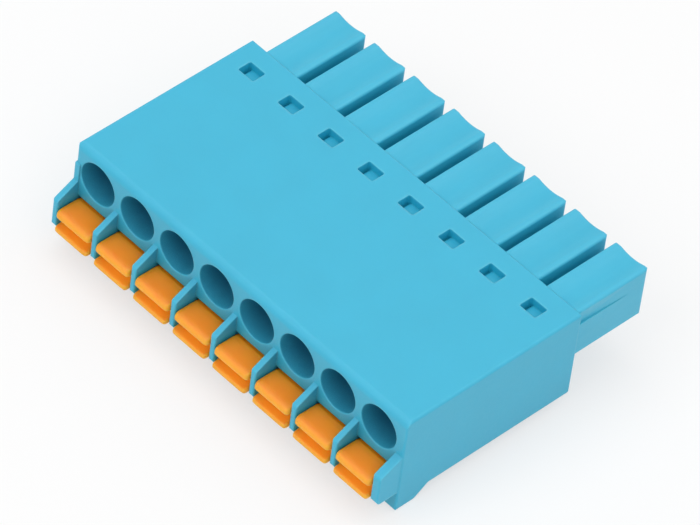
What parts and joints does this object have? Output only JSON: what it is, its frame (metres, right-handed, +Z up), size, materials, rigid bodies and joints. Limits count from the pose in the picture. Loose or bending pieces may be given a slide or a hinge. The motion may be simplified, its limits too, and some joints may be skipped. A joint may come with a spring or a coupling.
{
  "type": "pluggable terminal block",
  "caption": "Pluggable push-in terminal block: a flat housing with round wire entries over sliding release buttons at the front and a comb of pin sockets at the back.",
  "frame": {"origin": "middle of the underside of the part's bounding box, in the plane of the foot's underside", "axes": "+X along the row of poles, +Y from the wire entries to the comb of sockets, +Z up"},
  "size_m": [0.0286, 0.022, 0.0076],
  "materials": {
    "housing": "satin moulded polyamide, light blue",
    "button": "satin moulded plastic, orange",
    "contact": "tin-plated copper alloy strip",
    "spring": "rolled stainless spring strip"
  },
  "bodies": {
    "housing": {"housing": "housing", "contact_1": "contact", "contact_2": "contact", "contact_3": "contact", "contact_4": "contact", "contact_5": "contact", "contact_6": "contact", "contact_7": "contact", "contact_8": "contact", "spring_1": "spring", "spring_2": "spring", "spring_3": "spring", "spring_4": "spring", "spring_5": "spring", "spring_6": "spring", "spring_7": "spring", "spring_8": "spring"},
    "button_1": {"button_1": "button"},
    "button_2": {"button_2": "button"},
    "button_3": {"button_3": "button"},
    "button_4": {"button_4": "button"},
    "button_5": {"button_5": "button"},
    "button_6": {"button_6": "button"},
    "button_7": {"button_7": "button"},
    "button_8": {"button_8": "button"}
  },
  "joints": [
    {"name": "button_1_press", "type": "slide", "parent": "housing", "child": "button_1", "axis": [0, 1, 0], "range_m": [0, 0.001], "stiffness_N_per_m": 500, "deforming": ["spring_1"]},
    {"name": "button_2_press", "type": "slide", "parent": "housing", "child": "button_2", "axis": [0, 1, 0], "range_m": [0, 0.001], "stiffness_N_per_m": 500, "deforming": ["spring_2"]},
    {"name": "button_3_press", "type": "slide", "parent": "housing", "child": "button_3", "axis": [0, 1, 0], "range_m": [0, 0.001], "stiffness_N_per_m": 500, "deforming": ["spring_3"]},
    {"name": "button_4_press", "type": "slide", "parent": "housing", "child": "button_4", "axis": [0, 1, 0], "range_m": [0, 0.001], "stiffness_N_per_m": 500, "deforming": ["spring_4"]},
    {"name": "button_5_press", "type": "slide", "parent": "housing", "child": "button_5", "axis": [0, 1, 0], "range_m": [0, 0.001], "stiffness_N_per_m": 500, "deforming": ["spring_5"]},
    {"name": "button_6_press", "type": "slide", "parent": "housing", "child": "button_6", "axis": [0, 1, 0], "range_m": [0, 0.001], "stiffness_N_per_m": 500, "deforming": ["spring_6"]},
    {"name": "button_7_press", "type": "slide", "parent": "housing", "child": "button_7", "axis": [0, 1, 0], "range_m": [0, 0.001], "stiffness_N_per_m": 500, "deforming": ["spring_7"]},
    {"name": "button_8_press", "type": "slide", "parent": "housing", "child": "button_8", "axis": [0, 1, 0], "range_m": [0, 0.001], "stiffness_N_per_m": 500, "deforming": ["spring_8"]}
  ]
}
